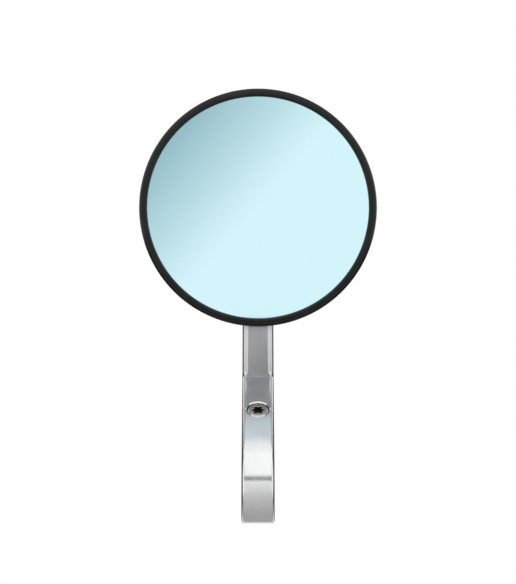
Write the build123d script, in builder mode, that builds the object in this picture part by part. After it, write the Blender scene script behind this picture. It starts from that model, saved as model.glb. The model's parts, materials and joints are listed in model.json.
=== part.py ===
from build123d import *
from math import acos, asin, cos, degrees, radians, sin, sqrt, tan
import os

os.makedirs("parts", exist_ok=True)

# A round bar end mirror: a clamp arm that grips the end of a handlebar, and a
# mirror head that swivels on a ball at the top of the arm.
# The handlebar runs along X, the rider looks along +Y, and Z is up. The origin
# is on the handlebar's axis, in the middle of the clamp ring.
# Lengths are in millimetres and angles in degrees.

# Clamp ring
bar_diameter = 22.2
ring_wall = 4.0
ring_width = 11.2
bore_chamfer = 0.5
edge_chamfer = 1.15

# Pinch screw, its tilted face and the slit that it closes
face_tilt = 53.0
pinch_thread = 4.0
pinch_length = 18.0
pinch_head_diameter = 7.2
pinch_head_height = 4.0
pinch_head_edge = 0.45
pinch_head_gap = 0.3
pinch_head_sink = 0.5
pinch_wall = 5.9
pinch_mouth = 0.6
pinch_clearance = 0.25
pinch_tip_chamfer = 0.5
lobe_count = 6
lobe_circle = 1.4
lobe_radius = 0.57
lobe_core = 1.45
lobe_depth = 2.0
slit_width = 2.0
lug_wall = 2.6
lug_depth = 9.5
lug_corner = 3.0
lug_blend = 2.5
lug_back_blend = 3.0

# Tilted bar behind the screw face and the stem that it bends into
bar_thickness = 8.0
bend_round = 8.0
head_rise = 92.0
stem_front = 20.7
stem_width = 10.3
stem_thickness = 7.0
stem_blend = 0.5
stem_bevel = 1.85
stem_bevel_tilt = 25.0
stem_bevel_runout = 1.2
bevel_start = 0.05
eye_diameter = 14.0
eye_blend = 8.0

# Ball stud and its fixings behind the eye
ball_diameter = 12.0
ball_reach = 21.7
neck_diameter = 5.5
stud_thread = 5.0
stud_end_chamfer = 0.5
hex_sides = 6
stud_hex = 8.0
stud_hex_thickness = 1.6
stud_clearance = 0.1
washer_diameter = 10.0
washer_thickness = 1.0
nut_hex = 8.0
nut_hex_height = 4.0
nut_dome_diameter = 7.4
nut_height = 9.0
nut_roof = 1.8
nut_chamfer = 0.5
thread_play = 0.02

# Swivel: how far the head swings on the ball to each side, and room for the neck
swing = 15.0
neck_room = 0.5

# Ball seats and the socket round them, with angles taken from the ball's rear pole
seat_play = 0.05
seat_wall = 1.2
seat_rear_margin = 6.0
seat_rear_end = 78.0
seat_split = 11.0
seat_front_end = 150.0
socket_lip = 0.7
socket_flare = 0.9
socket_depth = 0.5

# Pressure cup, disc spring, retainer plate and its screws
cup_gap = 0.5
cup_wall = 1.7
cup_hole_diameter = 6.0
cup_floor = 0.75
cup_play = 0.05
spring_height = 1.0
spring_thickness = 0.5
spring_land = 0.5
spring_play = 0.3
plate_thickness = 1.2
plate_hole_diameter = 11.0
retainer_count = 3
retainer_angle = 30.0
retainer_thread = 2.5
retainer_length = 6.0
retainer_head_diameter = 4.6
retainer_head_height = 1.5
retainer_head_round = 0.5
retainer_slot = 0.6
retainer_slot_depth = 0.7
retainer_clearance = 0.2
retainer_boss_wall = 1.45
retainer_boss_overlap = 0.6
retainer_hole_spare = 1.0

# Mirror housing
head_diameter = 80.0
housing_wall = 2.0
hub_wall = 2.15
boss_wall = 3.2
boss_height = 1.6
boss_round = 0.6
boss_blend = 1.2
dome_drop = 9.0
dome_round = 2.2
rib_count = 6
rib_thickness = 1.5
rib_height = 3.0

# Glass, gasket and bezel
glass_thickness = 2.0
glass_edge = 0.3
glass_clearance = 0.3
gasket_thickness = 0.6
seat_ring_width = 2.2
spigot_height = 3.0
bezel_skirt = 1.3
bezel_fit = 0.1
bezel_glass_gap = 0.5
bezel_lip_gap = 0.05
bezel_width = 2.73
bezel_inner_roll = 0.9
bezel_bead = 1.25
bezel_seam = 0.2
bezel_foot_chamfer = 0.3
snap_height = 0.25
snap_length = 0.8

# Clamp frame: u runs out along the slit, v up towards the head of the pinch screw
bar_radius = bar_diameter / 2
ring_radius = bar_radius + ring_wall
tilt = radians(face_tilt)


def clamp_point(u, v):
    """The (y, z) place of a point given along and across the slit."""
    return (u * sin(tilt) - v * cos(tilt), u * cos(tilt) + v * sin(tilt))


clamp_plane = Plane(origin=(0, 0, 0), x_dir=(0, sin(tilt), cos(tilt)), z_dir=(1, 0, 0))
pinch_offset = bar_radius + pinch_wall + pinch_thread / 2
counterbore_radius = pinch_head_diameter / 2 + pinch_head_gap
counterbore_depth = pinch_head_height + pinch_head_sink
pinch_axis = Vector(0, -cos(tilt), sin(tilt))
pinch_face_centre = Vector(0, *clamp_point(pinch_offset, ring_radius))
pinch_face = Plane(origin=pinch_face_centre, x_dir=(1, 0, 0), z_dir=pinch_axis)
lug_end = pinch_offset + pinch_thread / 2 + lug_wall

# Stem places


def bend_point(y, v):
    """The (y, z) place where an upright line at y meets a line along the slit at v."""
    return (y, (v + y * cos(tilt)) / sin(tilt))


stem_back = stem_front + stem_thickness
bend_front = bend_point(stem_front, ring_radius)
bend_back = bend_point(stem_back, ring_radius - bar_thickness)
stem_start = bend_front[1] + stem_blend * tan(tilt / 2)
eye_radius = eye_diameter / 2
stem_top = head_rise + 2 * eye_radius


def half_width(z):
    """Half of the arm's width at height z: it narrows evenly from ring to eye."""
    return (ring_width + (stem_width - ring_width) * z / head_rise) / 2


# Clamp arm: ring, slit lug, tilted bar and stem cut from one piece
ring_tangent = clamp_point(0, ring_radius)
lug_top = clamp_point(lug_end, ring_radius - bar_thickness)
lug_corner_point = clamp_point(lug_end, -lug_depth)
lug_root = clamp_point(sqrt(ring_radius**2 - lug_depth**2), -lug_depth)
outline_depth = 2 * (ring_radius + stem_back)

with BuildPart() as clamp_arm:
    with BuildSketch(Plane.YZ) as side_outline:
        with BuildLine():
            Polyline(
                ring_tangent,
                bend_front,
                (stem_front, stem_top),
                (stem_back, stem_top),
                bend_back,
                lug_top,
                lug_corner_point,
                lug_root,
            )
            ThreePointArc(lug_root, clamp_point(-ring_radius, 0), ring_tangent)
        make_face()
        fillet(side_outline.vertices().sort_by_distance(bend_front)[0], stem_blend)
        fillet(side_outline.vertices().sort_by_distance(bend_back)[0], bend_round)
        fillet(side_outline.vertices().sort_by_distance(lug_top)[0], lug_back_blend)
        fillet(side_outline.vertices().sort_by_distance(lug_corner_point)[0], lug_corner)
        fillet(side_outline.vertices().sort_by_distance(lug_root)[0], lug_blend)
    extrude(amount=ring_width, both=True)
    with BuildSketch(Plane.XZ) as front_outline:
        foot = -2 * ring_radius
        with BuildLine():
            Polyline(
                (half_width(foot), foot),
                (half_width(head_rise), head_rise),
                (-half_width(head_rise), head_rise),
                (-half_width(foot), foot),
                close=True,
            )
        make_face()
        with Locations((0, head_rise)):
            Circle(eye_radius)
        eye_neck = head_rise - sqrt(eye_radius**2 - half_width(head_rise) ** 2)
        for side in (-1, 1):
            notch = (side * half_width(eye_neck), eye_neck)
            fillet(front_outline.vertices().sort_by_distance(notch)[0], eye_blend)
    extrude(amount=outline_depth, both=True, mode=Mode.INTERSECT)

    # Chamfers run round both sides of the whole outline
    across = clamp_arm.edges().filter_by(Axis.X) + clamp_arm.edges().filter_by(Axis.Y)
    chamfer(clamp_arm.edges() - across, edge_chamfer)

    # The stem's four long edges have a wide, shallow bevel that runs out at both ends
    runout_top = eye_neck - eye_blend
    stem_run = runout_top - stem_start
    lean = radians(stem_bevel_tilt)
    shallow = edge_chamfer * sin(lean) - bevel_start
    deep = stem_bevel * sin(lean)
    for side in (-1, 1):
        edge_foot = Vector(side * half_width(stem_start), 0, stem_start)
        edge_head = Vector(side * half_width(runout_top), 0, runout_top)
        along = (edge_head - edge_foot).normalized()
        for face, inward in ((stem_front, 1), (stem_back, -1)):
            outward = Vector(side * sin(lean), -inward * cos(lean), 0)
            corner = Plane(
                origin=edge_foot + Vector(0, face, 0), x_dir=along, z_dir=along.cross(outward)
            )
            with BuildSketch(corner):
                with BuildLine():
                    Polyline(
                        (0, -shallow),
                        (stem_bevel_runout, -deep),
                        (stem_run - stem_bevel_runout, -deep),
                        (stem_run, -shallow),
                        (stem_run, stem_bevel),
                        (0, stem_bevel),
                        close=True,
                    )
                make_face()
            extrude(amount=2 * stem_bevel, both=True, mode=Mode.SUBTRACT)

    # Bore for the handlebar
    with BuildSketch(Plane.YZ):
        Circle(bar_radius)
    extrude(amount=ring_width, both=True, mode=Mode.SUBTRACT)
    bore = clamp_arm.faces().filter_by(GeomType.CYLINDER).sort_by_distance((0, 0, 0))[0]
    chamfer(bore.edges() - bore.edges().filter_by(Axis.X), bore_chamfer)

    # Slit from the bore out through the back
    slit_end = lug_end + stem_thickness
    with BuildSketch(clamp_plane):
        with Locations((slit_end / 2, 0)):
            Rectangle(slit_end, slit_width)
    extrude(amount=ring_width, both=True, mode=Mode.SUBTRACT)

    # Pinch screw: counterbore and clearance hole above the slit, thread below it
    with Locations(pinch_face):
        CounterBoreHole(
            pinch_thread / 2 + pinch_clearance,
            counterbore_radius,
            counterbore_depth,
            ring_radius,
        )
    with Locations(pinch_face.offset(-ring_radius)):
        Hole(pinch_thread / 2 + thread_play, lug_depth + slit_width)
    with Locations(pinch_face):
        Cone(counterbore_radius, counterbore_radius + 2 * pinch_mouth, 2 * pinch_mouth, mode=Mode.SUBTRACT)

    # Hole through the eye for the ball stud
    with Locations(Plane(origin=(0, stem_front, head_rise), z_dir=(0, -1, 0))):
        Hole(stud_thread / 2 + stud_clearance, 2 * stem_thickness)

clamp_arm.part.label = "clamp_arm"
export_step(clamp_arm.part, "parts/clamp_arm.step")

# Pinch screw: a cap screw with a six-lobe socket
pinch_seat = pinch_face.offset(-counterbore_depth)

with BuildPart() as clamp_screw:
    with BuildSketch(pinch_seat):
        Circle(pinch_head_diameter / 2)
    extrude(amount=pinch_head_height)
    chamfer(clamp_screw.edges().group_by(Axis(pinch_face_centre, pinch_axis))[-1], pinch_head_edge)
    with BuildSketch(pinch_seat):
        Circle(pinch_thread / 2)
    extrude(amount=-pinch_length)
    chamfer(clamp_screw.edges().group_by(Axis(pinch_face_centre, pinch_axis))[0], pinch_tip_chamfer)
    with BuildSketch(pinch_seat.offset(pinch_head_height)):
        Circle(lobe_core)
        with PolarLocations(lobe_circle, lobe_count):
            Circle(lobe_radius)
    extrude(amount=-lobe_depth, mode=Mode.SUBTRACT)

clamp_screw.part.label = "clamp_screw"
export_step(clamp_screw.part, "parts/clamp_screw.step")

# Head frame: r runs out from the ball's axis, a runs back from the ball's centre
ball_centre = Vector(0, stem_front - ball_reach, head_rise)
head_plane = Plane(origin=ball_centre, x_dir=(1, 0, 0), z_dir=(0, 0, 1))
head_axis = Axis(ball_centre, (0, 1, 0))
ball_radius = ball_diameter / 2
neck_radius = neck_diameter / 2
stud_radius = stud_thread / 2
eye_back = ball_reach + stem_thickness
nut_seat = eye_back + washer_thickness
nut_end = nut_seat + nut_height


def facing(a):
    """A plane across the head's axis, at a behind the ball's centre, that faces the rider."""
    return Plane(origin=ball_centre + Vector(0, a, 0), x_dir=(1, 0, 0), z_dir=(0, -1, 0))


def on_sphere(radius, angle):
    """The (r, a) place on a sphere about the ball's centre, by angle from its rear pole."""
    return (radius * sin(radians(angle)), radius * cos(radians(angle)))


# Ball stud: ball, neck, hexagon that seats on the eye, and threaded shank
neck_start = sqrt(ball_radius**2 - neck_radius**2)
stud_end = nut_end - nut_roof - stud_end_chamfer

with BuildPart() as ball_stud:
    with BuildSketch(head_plane):
        with BuildLine():
            ThreePointArc((0, -ball_radius), (ball_radius, 0), (neck_radius, neck_start))
            Polyline(
                (neck_radius, neck_start),
                (neck_radius, ball_reach),
                (stud_radius, ball_reach),
                (stud_radius, stud_end - stud_end_chamfer),
                (stud_radius - stud_end_chamfer, stud_end),
                (0, stud_end),
                (0, -ball_radius),
            )
        make_face()
    revolve(axis=head_axis)
    with BuildSketch(facing(ball_reach)):
        RegularPolygon(stud_hex / 2, hex_sides, major_radius=False)
    extrude(amount=stud_hex_thickness)

ball_stud.part.label = "ball_stud"
export_step(ball_stud.part, "parts/ball_stud.step")

# Washer behind the eye
with BuildPart() as stud_washer:
    with BuildSketch(facing(nut_seat)):
        Circle(washer_diameter / 2)
        Circle(stud_radius + stud_clearance, mode=Mode.SUBTRACT)
    extrude(amount=washer_thickness)

stud_washer.part.label = "stud_washer"
export_step(stud_washer.part, "parts/stud_washer.step")

# Domed nut on the stud
nut_dome_radius = nut_dome_diameter / 2
dome_start = (nut_dome_radius, nut_end - nut_dome_radius)
nut_hex_end = nut_seat + nut_hex_height

with BuildPart() as stud_nut:
    with BuildSketch(facing(nut_hex_end)):
        RegularPolygon(nut_hex / 2, hex_sides, major_radius=False)
    extrude(amount=nut_hex_height)
    chamfer(stud_nut.faces().sort_by(Axis.Y)[-1].edges(), nut_chamfer)
    with BuildSketch(head_plane):
        with BuildLine():
            Polyline((0, nut_end), (0, nut_seat), (nut_dome_radius, nut_seat), dome_start)
            TangentArc(dome_start, (0, nut_end), tangent=(0, 1))
        make_face()
    revolve(axis=head_axis)
    with Locations(facing(nut_seat)):
        Hole(stud_radius + thread_play, nut_height - nut_roof)

stud_nut.part.label = "stud_nut"
export_step(stud_nut.part, "parts/stud_nut.step")

# Ball seats: two thin spherical rings, one behind and one in front of the ball's middle
seat_inner = ball_radius + seat_play
seat_outer = seat_inner + seat_wall
socket_radius = seat_outer + seat_play
corner_swing = degrees(acos(cos(radians(swing)) ** 2))
opening_angle = corner_swing + degrees(asin((neck_radius + neck_room) / socket_radius))
seat_front_start = seat_rear_end + swing + seat_split
seats = {
    "rear_ball_seat": (opening_angle + seat_rear_margin, seat_rear_end),
    "front_ball_seat": (seat_front_start, seat_front_end),
}

for name, (first, last) in seats.items():
    middle = (first + last) / 2
    with BuildPart() as ball_seat:
        with BuildSketch(head_plane):
            with BuildLine():
                ThreePointArc(*[on_sphere(seat_outer, angle) for angle in (first, middle, last)])
                Line(on_sphere(seat_outer, last), on_sphere(seat_inner, last))
                ThreePointArc(*[on_sphere(seat_inner, angle) for angle in (last, middle, first)])
                Line(on_sphere(seat_inner, first), on_sphere(seat_outer, first))
            make_face()
        revolve(axis=head_axis)
    ball_seat.part.label = name
    export_step(ball_seat.part, f"parts/{name}.step")

# Pressure cup: a dished ring that the spring pushes against the front seat
cup_radius = socket_radius + cup_wall
cup_hole = cup_hole_diameter / 2
cup_back = -(socket_depth + cup_gap)
cup_dish_end = -sqrt(socket_radius**2 - cup_hole**2)
cup_front = cup_dish_end - cup_floor
cup_rim = sqrt(socket_radius**2 - cup_back**2)

with BuildPart() as pressure_cup:
    with BuildSketch(head_plane):
        with BuildLine():
            Polyline(
                (cup_hole, cup_dish_end),
                (cup_hole, cup_front),
                (cup_radius, cup_front),
                (cup_radius, cup_back),
                (cup_rim, cup_back),
            )
            RadiusArc((cup_rim, cup_back), (cup_hole, cup_dish_end), socket_radius)
        make_face()
    revolve(axis=head_axis)

pressure_cup.part.label = "pressure_cup"
export_step(pressure_cup.part, "parts/pressure_cup.step")

# Disc spring: a coned washer between the cup and the retainer plate
hub_bore = cup_radius + cup_play
hub_front = cup_front - spring_height
spring_inner = cup_hole + spring_land
spring_outer = hub_bore - spring_play

with BuildPart() as disc_spring:
    with BuildSketch(head_plane):
        with BuildLine():
            Polyline(
                (spring_inner, cup_front),
                (spring_outer, hub_front + spring_thickness),
                (spring_outer, hub_front),
                (spring_inner, cup_front - spring_thickness),
                close=True,
            )
        make_face()
    revolve(axis=head_axis)

disc_spring.part.label = "disc_spring"
export_step(disc_spring.part, "parts/disc_spring.step")

# Retainer plate, screwed to the housing's hub
hub_radius = hub_bore + hub_wall
retainer_boss_radius = retainer_thread / 2 + retainer_boss_wall
retainer_circle = hub_radius + retainer_boss_radius - retainer_boss_overlap
plate_radius = retainer_circle + retainer_boss_radius
plate_front = hub_front - plate_thickness

with BuildPart() as retainer_plate:
    with BuildSketch(facing(hub_front)):
        Circle(plate_radius)
        Circle(plate_hole_diameter / 2, mode=Mode.SUBTRACT)
        with PolarLocations(retainer_circle, retainer_count, retainer_angle):
            Circle(retainer_thread / 2 + retainer_clearance, mode=Mode.SUBTRACT)
    extrude(amount=plate_thickness)

retainer_plate.part.label = "retainer_plate"
export_step(retainer_plate.part, "parts/retainer_plate.step")

# Retainer screws, with slotted pan heads
retainer_head_front = plate_front - retainer_head_height

with BuildPart() as retainer_screws:
    with BuildSketch(facing(plate_front)):
        with PolarLocations(retainer_circle, retainer_count, retainer_angle):
            Circle(retainer_head_diameter / 2)
    extrude(amount=retainer_head_height)
    fillet(retainer_screws.edges().group_by(Axis.Y)[0], retainer_head_round)
    with BuildSketch(facing(plate_front)):
        with PolarLocations(retainer_circle, retainer_count, retainer_angle):
            Circle(retainer_thread / 2)
    extrude(amount=-retainer_length)
    with BuildSketch(facing(retainer_head_front)):
        with PolarLocations(retainer_circle, retainer_count, retainer_angle):
            Rectangle(retainer_head_diameter, retainer_slot)
    extrude(amount=-retainer_slot_depth, mode=Mode.SUBTRACT)

retainer_screws.part.label = "retainer_screws"
export_step(retainer_screws.part, "parts/retainer_screws.step")

# Glass and bezel places, worked forward from the retainer screws
head_radius = head_diameter / 2
skirt_inner = head_radius - bezel_skirt
glass_radius = skirt_inner - bezel_glass_gap
glass_back = retainer_head_front - glass_clearance
glass_front = glass_back - glass_thickness
seat_front = glass_back + gasket_thickness
shoulder = seat_front + spigot_height
spigot_radius = skirt_inner - bezel_fit
spigot_inner = spigot_radius - seat_ring_width
snap_place = (seat_front + shoulder) / 2

# Mirror housing: a dished shell with a ball socket, hub, ribs and screw bosses
open_r, open_a = on_sphere(socket_radius, opening_angle)
boss_face = open_a + socket_lip
boss_radius = open_r + socket_flare + boss_wall
dome_apex = boss_face - boss_height
dome_curve = (head_radius**2 + dome_drop**2) / (2 * dome_drop)
socket_rim = sqrt(socket_radius**2 - socket_depth**2)


def dome(r, depth):
    """The (r, a) place at r on the dome, or at a depth inside its wall."""
    return (r, dome_apex - dome_curve + sqrt((dome_curve - depth) ** 2 - r**2))


with BuildPart() as mirror_housing:
    with BuildSketch(head_plane) as shell:
        boss_root = dome(boss_radius, 0)
        dome_corner = dome(head_radius, 0)
        inner_middle = (spigot_inner + hub_radius) / 2
        with BuildLine():
            Polyline(
                (open_r, open_a),
                (open_r + socket_flare, boss_face),
                (boss_radius, boss_face),
                boss_root,
            )
            ThreePointArc(boss_root, dome((boss_radius + head_radius) / 2, 0), dome_corner)
            Polyline(
                dome_corner,
                (head_radius, shoulder),
                (spigot_radius, shoulder),
                (spigot_radius, snap_place + snap_length / 2),
                (spigot_radius - snap_height, snap_place),
                (spigot_radius, snap_place - snap_length / 2),
                (spigot_radius, seat_front),
                (spigot_inner, seat_front),
                dome(spigot_inner, housing_wall),
            )
            ThreePointArc(*[dome(r, housing_wall) for r in (spigot_inner, inner_middle, hub_radius)])
            Polyline(
                dome(hub_radius, housing_wall),
                (hub_radius, hub_front),
                (hub_bore, hub_front),
                (hub_bore, -socket_depth),
                (socket_rim, -socket_depth),
            )
            RadiusArc((socket_rim, -socket_depth), (open_r, open_a), -socket_radius)
        make_face()
        fillet(shell.vertices().sort_by_distance((boss_radius, boss_face))[0], boss_round)
        fillet(shell.vertices().sort_by_distance(boss_root)[0], boss_blend)
        fillet(shell.vertices().sort_by_distance(dome_corner)[0], dome_round)
    revolve(axis=head_axis)

    # Ribs from the hub to the rim
    rib_planes = [
        head_plane.rotated((0, -360 * place / rib_count, 0)) for place in range(rib_count)
    ]
    rib_root = hub_bore + hub_wall / 2
    rib_tip = spigot_inner + seat_ring_width / 2
    with BuildSketch(*rib_planes):
        with BuildLine():
            ThreePointArc(*[dome(r, housing_wall / 2) for r in (rib_root, (rib_root + rib_tip) / 2, rib_tip)])
            Line(dome(rib_tip, housing_wall / 2), dome(rib_tip, housing_wall + rib_height))
            Line(dome(rib_tip, housing_wall + rib_height), dome(rib_root, housing_wall + rib_height))
            Line(dome(rib_root, housing_wall + rib_height), dome(rib_root, housing_wall / 2))
        make_face()
    extrude(amount=rib_thickness / 2, both=True)

    # Bosses and holes for the retainer screws
    boss_length = dome(retainer_circle, housing_wall / 2)[1] - hub_front
    with BuildSketch(facing(hub_front)):
        with PolarLocations(retainer_circle, retainer_count, retainer_angle):
            Circle(retainer_boss_radius)
    extrude(amount=-boss_length)
    with BuildSketch(facing(hub_front)):
        with PolarLocations(retainer_circle, retainer_count, retainer_angle):
            Circle(retainer_thread / 2 + thread_play)
    extrude(amount=plate_thickness - retainer_length - retainer_hole_spare, mode=Mode.SUBTRACT)

mirror_housing.part.label = "mirror_housing"
export_step(mirror_housing.part, "parts/mirror_housing.step")

# Gasket between the housing's rim and the glass
with BuildPart() as glass_gasket:
    with BuildSketch(facing(seat_front)):
        Circle(glass_radius)
        Circle(spigot_inner, mode=Mode.SUBTRACT)
    extrude(amount=gasket_thickness)

glass_gasket.part.label = "glass_gasket"
export_step(glass_gasket.part, "parts/glass_gasket.step")

# Mirror glass: a flat disc with ground edges
with BuildPart() as mirror_glass:
    with BuildSketch(facing(glass_back)):
        Circle(glass_radius)
    extrude(amount=glass_thickness)
    chamfer(mirror_glass.edges().filter_by(GeomType.CIRCLE), glass_edge)

mirror_glass.part.label = "mirror_glass"
export_step(mirror_glass.part, "parts/mirror_glass.step")

# Bezel: a rolled rim that snaps over the housing and holds the glass
lip_back = glass_front - bezel_lip_gap
crest = lip_back - bezel_bead
outer_roll = bezel_width - bezel_inner_roll
crest_r = head_radius - outer_roll
lip_inner = head_radius - bezel_width
skirt_foot = shoulder - bezel_seam

with BuildPart() as bezel:
    with BuildSketch(head_plane):
        with BuildLine():
            Polyline(
                (skirt_inner, skirt_foot),
                (head_radius - bezel_foot_chamfer, skirt_foot),
                (head_radius, skirt_foot - bezel_foot_chamfer),
                (head_radius, crest + outer_roll),
            )
            RadiusArc((head_radius, crest + outer_roll), (crest_r, crest), outer_roll)
            RadiusArc((crest_r, crest), (lip_inner, crest + bezel_inner_roll), bezel_inner_roll)
            Polyline(
                (lip_inner, crest + bezel_inner_roll),
                (lip_inner, lip_back),
                (skirt_inner, lip_back),
                (skirt_inner, snap_place - snap_length / 2),
                (skirt_inner - snap_height, snap_place),
                (skirt_inner, snap_place + snap_length / 2),
                (skirt_inner, skirt_foot),
            )
        make_face()
    revolve(axis=head_axis)

bezel.part.label = "bezel"
export_step(bezel.part, "parts/bezel.step")
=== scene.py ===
import json
import logging
from abc import ABC, abstractmethod
from dataclasses import dataclass, field
from enum import Enum
from math import acos, asin, atan2, cos, pi, radians, sin, sqrt, tan

import bmesh
import bpy
from mathutils import Matrix, Vector


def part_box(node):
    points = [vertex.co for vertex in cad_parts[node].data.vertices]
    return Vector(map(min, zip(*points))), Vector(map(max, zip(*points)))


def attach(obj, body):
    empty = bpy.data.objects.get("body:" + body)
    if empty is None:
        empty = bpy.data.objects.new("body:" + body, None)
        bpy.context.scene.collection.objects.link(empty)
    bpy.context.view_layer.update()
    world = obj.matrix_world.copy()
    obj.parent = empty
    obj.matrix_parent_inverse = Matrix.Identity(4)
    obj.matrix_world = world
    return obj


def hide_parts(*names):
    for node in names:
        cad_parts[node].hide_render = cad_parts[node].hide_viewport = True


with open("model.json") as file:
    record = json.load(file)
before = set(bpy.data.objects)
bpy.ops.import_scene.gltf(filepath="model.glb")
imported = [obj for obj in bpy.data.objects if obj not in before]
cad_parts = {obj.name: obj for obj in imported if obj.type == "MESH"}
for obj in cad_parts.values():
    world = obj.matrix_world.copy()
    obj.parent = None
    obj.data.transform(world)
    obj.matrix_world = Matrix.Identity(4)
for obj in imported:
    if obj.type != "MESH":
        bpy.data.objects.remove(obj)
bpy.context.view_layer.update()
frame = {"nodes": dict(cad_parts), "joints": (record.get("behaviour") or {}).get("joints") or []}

log = logging.getLogger("bar_end_mirror")

Place = tuple[float, float]
Range = tuple[float, float]
Size = tuple[float, float, float]
Colour = tuple[float, float, float, float]
Sockets = dict[str | int, object]
Part = bmesh.types.BMFace | bmesh.types.BMEdge

MM = 0.001
# Points that lie closer together than this are one point.
MERGE = 0.0005 * MM
FULL_TURN = 2 * pi
ALONG_BAR = Vector((1, 0, 0))
AWAY = Vector((0, 1, 0))
UP = Vector((0, 0, 1))
BALL_CENTRE = Vector(frame["joints"][0]["pos_m"])


@dataclass(frozen=True)
class Sheet:
    """A flat drawing sheet in the frame: where its origin is and which way it is drawn on."""

    origin: Vector
    across: Vector
    up: Vector

    @property
    def normal(self) -> Vector:
        """The direction that the sheet faces."""
        return self.across.cross(self.up)

    @property
    def matrix(self) -> Matrix:
        """The turn and move that bring flat shapes about the frame's origin onto the sheet."""
        turned = Matrix((self.across, self.up, self.normal)).transposed()
        return Matrix.Translation(self.origin) @ turned.to_4x4()

    def point(self, place: Place) -> Vector:
        """The frame's point for a place drawn on the sheet."""
        return self.origin + self.across * place[0] + self.up * place[1]

    def raised(self, height: float) -> "Sheet":
        """The same sheet, moved along its normal."""
        return Sheet(self.origin + self.normal * height, self.across, self.up)


# What is turned about the ball's axis is drawn on this sheet.
BALL_AXIS = Sheet(BALL_CENTRE, ALONG_BAR, AWAY)


def upright(x: float, y: float, z: float) -> Sheet:
    """A sheet that stands up along the handlebar, about a point."""
    return Sheet(Vector((x, y, z)), ALONG_BAR, UP)


def level(x: float, y: float, z: float) -> Sheet:
    """A sheet that lies level, about a point."""
    return Sheet(Vector((x, y, z)), ALONG_BAR, AWAY)


def polar(radius: float, angle: float) -> Place:
    """The place at a radius and an angle from the sheet's origin."""
    return (radius * cos(angle), radius * sin(angle))


def depths(node: str) -> Range:
    """Where a node of the frame starts and ends, behind the ball's centre."""
    front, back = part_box(node)
    return (front.y - BALL_CENTRE.y, back.y - BALL_CENTRE.y)


def in_scene(name: str, data: bpy.types.ID) -> bpy.types.Object:
    """Puts a mesh, a lamp or a camera in the scene as a new object.

    Args:
        name: The object's name.
        data: What the object shows.

    Returns:
        The object.
    """
    made = bpy.data.objects.new(name, data)
    bpy.context.scene.collection.objects.link(made)
    return made


def drawn_out(mesh: bmesh.types.BMesh, parts: list[Part], way: Vector) -> list[bmesh.types.BMVert]:
    """Extrudes faces and moves their new ends.

    Args:
        mesh: The mesh that holds the faces.
        parts: The faces, and their edges where sides already stand on them.
        way: Where the new ends move to.

    Returns:
        The corners of the new ends.
    """
    grown = bmesh.ops.extrude_face_region(mesh, geom=parts)["geom"]
    ends = [part for part in grown if isinstance(part, bmesh.types.BMVert)]
    bmesh.ops.translate(mesh, verts=ends, vec=way)
    return ends


class Outline:
    """A line drawn on a sheet, out of straight runs and round arcs."""

    ARC_STEP = radians(2.5)
    ROUND_STEPS = 10

    def __init__(self, sheet: Sheet, start: Place, *stops: Place) -> None:
        """Puts the pen down and draws straight runs.

        Args:
            sheet: The sheet that is drawn on.
            start: The line's first point.
            stops: The ends of the runs, in order.
        """
        self.sheet = sheet
        self.mesh = bmesh.new()
        self.first = self.mesh.verts.new(sheet.point(start))
        self.tip = self.first
        self.line(*stops)

    def line(self, *stops: Place) -> "Outline":
        """Draws straight runs.

        Args:
            stops: The ends of the runs, in order.

        Returns:
            The outline itself.
        """
        for stop in stops:
            corner = self.mesh.verts.new(self.sheet.point(stop))
            self.mesh.edges.new((self.tip, corner))
            self.tip = corner
        return self

    def arc(self, centre: Place, turn: float) -> "Outline":
        """Draws a round arc.

        Args:
            centre: The arc's centre.
            turn: The angle that it goes through, positive from across towards up.

        Returns:
            The outline itself.
        """
        made = bmesh.ops.spin(
            self.mesh,
            geom=[self.tip],
            cent=self.sheet.point(centre),
            axis=self.sheet.normal,
            angle=turn,
            steps=max(2, round(abs(turn) / self.ARC_STEP)),
        )
        self.tip = made["geom_last"][0]
        return self

    def close(self) -> "Outline":
        """Draws the last run back to the start, unless the pen is there already.

        Returns:
            The outline itself.
        """
        if (self.tip.co - self.first.co).length > MERGE:
            self.mesh.edges.new((self.tip, self.first))
        else:
            bmesh.ops.remove_doubles(self.mesh, verts=self.mesh.verts[:], dist=MERGE)
        return self

    def round(self, radius: float, *corners: Place) -> "Outline":
        """Rounds corners between two straight runs.

        Args:
            radius: The radius of the rounding.
            corners: Where the corners are.

        Returns:
            The outline itself.
        """
        for corner in corners:
            spot = self.sheet.point(corner)
            vert = min(self.mesh.verts, key=lambda v: (v.co - spot).length)
            ways = [edge.other_vert(vert).co - vert.co for edge in vert.link_edges]
            bmesh.ops.bevel(
                self.mesh,
                geom=[vert],
                offset=radius / tan(ways[0].angle(ways[1]) / 2),
                segments=self.ROUND_STEPS,
                profile=0.5,
                affect="VERTICES",
                material=-1,
            )
        return self


class Carving(Enum):
    """How one closed shape acts on another."""

    CUT = "DIFFERENCE"
    JOIN = "UNION"
    KEEP = "INTERSECT"


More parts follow.
